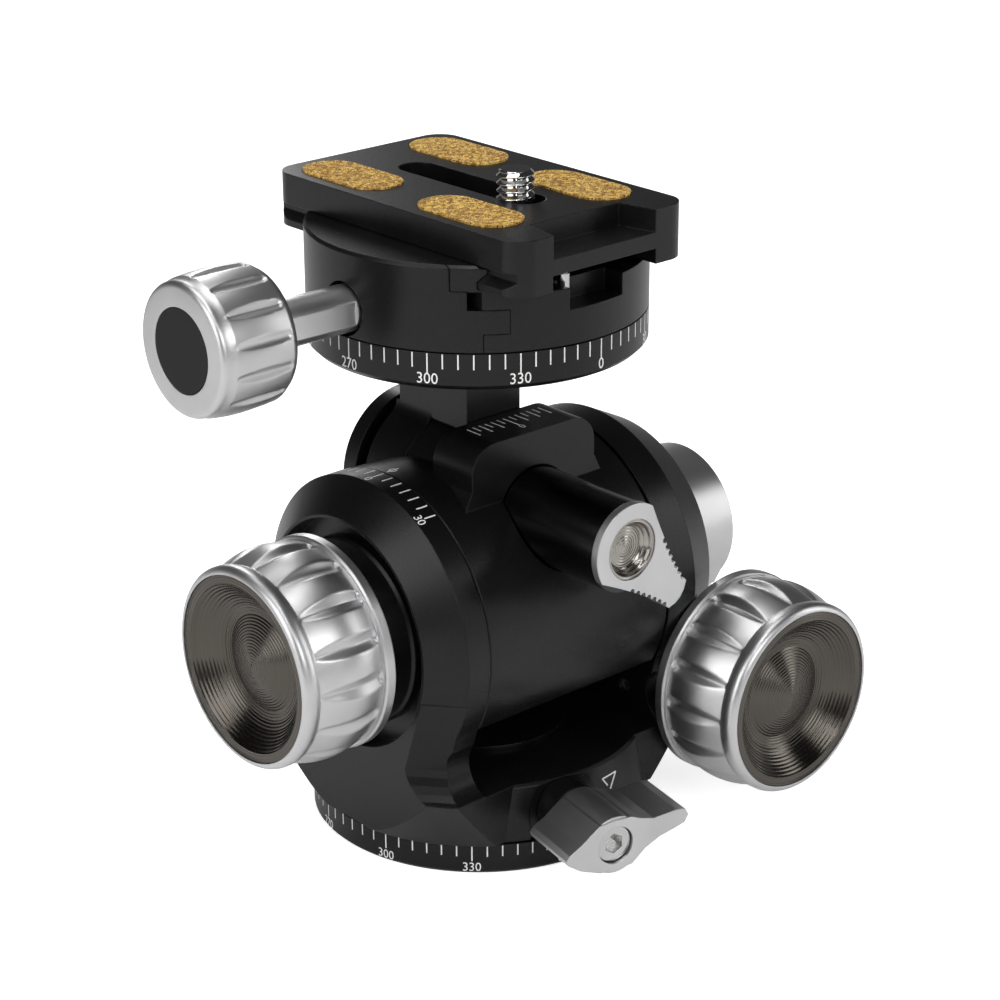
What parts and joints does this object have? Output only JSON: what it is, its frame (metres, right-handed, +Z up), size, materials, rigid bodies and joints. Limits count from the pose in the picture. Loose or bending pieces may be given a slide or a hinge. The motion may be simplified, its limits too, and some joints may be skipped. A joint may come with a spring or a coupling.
{
  "type": "geared tripod head",
  "caption": "Two-axis geared tripod head: round panning base, worm-driven tilting drum and post, panning dovetail clamp with quick plate and camera screw.",
  "frame": {"origin": "centre of the base ring's underside, where it stands on the tripod", "axes": "+Z up along the base's pan axis; X is the drum's tilt axis with the post's knob at -X; the camera plate's long way is Y, and the locking levers and the drum's knob are at -Y"},
  "size_m": [0.1159, 0.079, 0.1182],
  "materials": {
    "black_anodised": "fine-blasted black anodised",
    "satin_silver": "satin clear anodised",
    "grey_anodised": "smooth grey anodised",
    "taupe_anodised": "turned, warm grey anodised",
    "plated_steel": "bright plated",
    "dark_steel": "blackened",
    "bronze": "machined",
    "white_plastic": "smooth",
    "cork": "cork granules, matte"
  },
  "bodies": {
    "base": {"base_ring": "black_anodised", "tripod_insert": "plated_steel", "pan_spindle": "plated_steel", "base_screws": "dark_steel", "pan_washer": "white_plastic"},
    "yoke_body": {"yoke": "black_anodised", "floor_cap": "black_anodised", "left_bearing_cap": "black_anodised", "side_cover": "black_anodised", "worm_set_screws": "plated_steel", "drum_worm_bushes": "bronze", "pan_collar": "black_anodised", "pan_brake_pad": "bronze"},
    "pan_lever": {"pan_lock_lever": "satin_silver", "pan_lock_bolt": "plated_steel"},
    "drum_body": {"drum": "black_anodised", "drum_worm_wheel": "bronze", "post_shaft": "plated_steel", "post_worm_bushes": "bronze", "drum_lock_bolt": "plated_steel"},
    "drum_knob_body": {"drum_worm": "plated_steel", "drum_knob": "satin_silver", "drum_knob_cap": "taupe_anodised"},
    "post_knob_body": {"post_worm": "plated_steel", "post_knob": "satin_silver", "post_knob_cap": "taupe_anodised"},
    "drum_lever": {"drum_lock_lever": "satin_silver"},
    "post_lever": {"post_lock_barrel": "grey_anodised", "post_lock_lever": "satin_silver", "post_lock_cap": "taupe_anodised"},
    "post_body": {"tilt_post": "black_anodised", "post_worm_sector": "bronze", "scale_ring": "black_anodised", "pivot_screws": "dark_steel", "clamp_pivot": "plated_steel"},
    "clamp": {"clamp_body": "black_anodised", "jaw_guide_pins": "plated_steel"},
    "jaw": {"movable_jaw": "black_anodised"},
    "clamp_knob_body": {"clamp_screw": "plated_steel", "clamp_knob": "satin_silver", "clamp_knob_disc": "black_anodised", "screw_retainer": "plated_steel"},
    "pin": {"safety_pin": "plated_steel"},
    "plate": {"quick_plate": "black_anodised", "cork_pads": "cork"},
    "screw_carriage": {"screw_clip": "dark_steel"},
    "screw": {"camera_screw": "plated_steel"}
  },
  "joints": [
    {"name": "pan_turn", "type": "hinge", "parent": "base", "child": "yoke_body", "pos_m": [0, 0, 0.0055], "axis": [0, 0, 1], "continuous": true},
    {"name": "pan_lock_turn", "type": "hinge", "parent": "yoke_body", "child": "pan_lever", "pos_m": [0, 0, 0.0109], "axis": [-0.2079, -0.9781, 0], "range_deg": [-10, 10]},
    {"name": "drum_tilt", "type": "hinge", "parent": "yoke_body", "child": "drum_body", "pos_m": [0, 0, 0.041], "axis": [1, 0, 0], "range_deg": [-30, 30]},
    {"name": "drum_knob_turn", "type": "hinge", "parent": "yoke_body", "child": "drum_knob_body", "pos_m": [0.0363, 0, 0.0225], "axis": [0, 1, 0], "range_deg": [-840, 840]},
    {"name": "drum_lock_turn", "type": "hinge", "parent": "yoke_body", "child": "drum_lever", "pos_m": [0.045, 0, 0.041], "axis": [1, 0, 0], "range_deg": [-60, 60]},
    {"name": "post_tilt", "type": "hinge", "parent": "drum_body", "child": "post_body", "pos_m": [0, 0, 0.0595], "axis": [0, 1, 0], "range_deg": [-30, 30]},
    {"name": "post_knob_turn", "type": "hinge", "parent": "drum_body", "child": "post_knob_body", "pos_m": [0, 0, 0.041], "axis": [1, 0, 0], "range_deg": [-840, 840]},
    {"name": "post_lock_turn", "type": "hinge", "parent": "drum_body", "child": "post_lever", "pos_m": [0, -0.03, 0.0595], "axis": [0, 1, 0], "range_deg": [-45, 45]},
    {"name": "clamp_pan", "type": "hinge", "parent": "post_body", "child": "clamp", "pos_m": [0, 0, 0.0935], "axis": [0, 0, 1], "continuous": true},
    {"name": "clamp_knob_turn", "type": "hinge", "parent": "jaw", "child": "clamp_knob_body", "pos_m": [-0.045, 0, 0.0982], "axis": [1, 0, 0], "range_deg": [-720, 0]},
    {"name": "jaw_slide", "type": "slide", "parent": "clamp", "child": "jaw", "axis": [-1, 0, 0], "range_m": [0, 0.002]},
    {"name": "pin_press", "type": "slide", "parent": "clamp", "child": "pin", "axis": [0, 0, -1], "range_m": [0, 0.0018], "stiffness_N_per_m": 400, "springref_m": -0.001},
    {"name": "plate_slide", "type": "slide", "parent": "clamp", "child": "plate", "axis": [0, 1, 0], "range_m": [-0.005, 0.012]},
    {"name": "screw_slide", "type": "slide", "parent": "plate", "child": "screw_carriage", "axis": [0, 1, 0], "range_m": [-0.0022, 0.0245]},
    {"name": "screw_turn", "type": "hinge", "parent": "screw_carriage", "child": "screw", "pos_m": [0, -0.0097, 0.11], "axis": [0, 0, 1], "continuous": true}
  ],
  "couplings": [
    {"joint": "drum_knob_turn", "follows": "drum_tilt", "ratio": -28},
    {"joint": "post_knob_turn", "follows": "post_tilt", "ratio": 28},
    {"joint": "clamp_knob_turn", "follows": "jaw_slide", "rad_per_m": -6283.2}
  ]
}
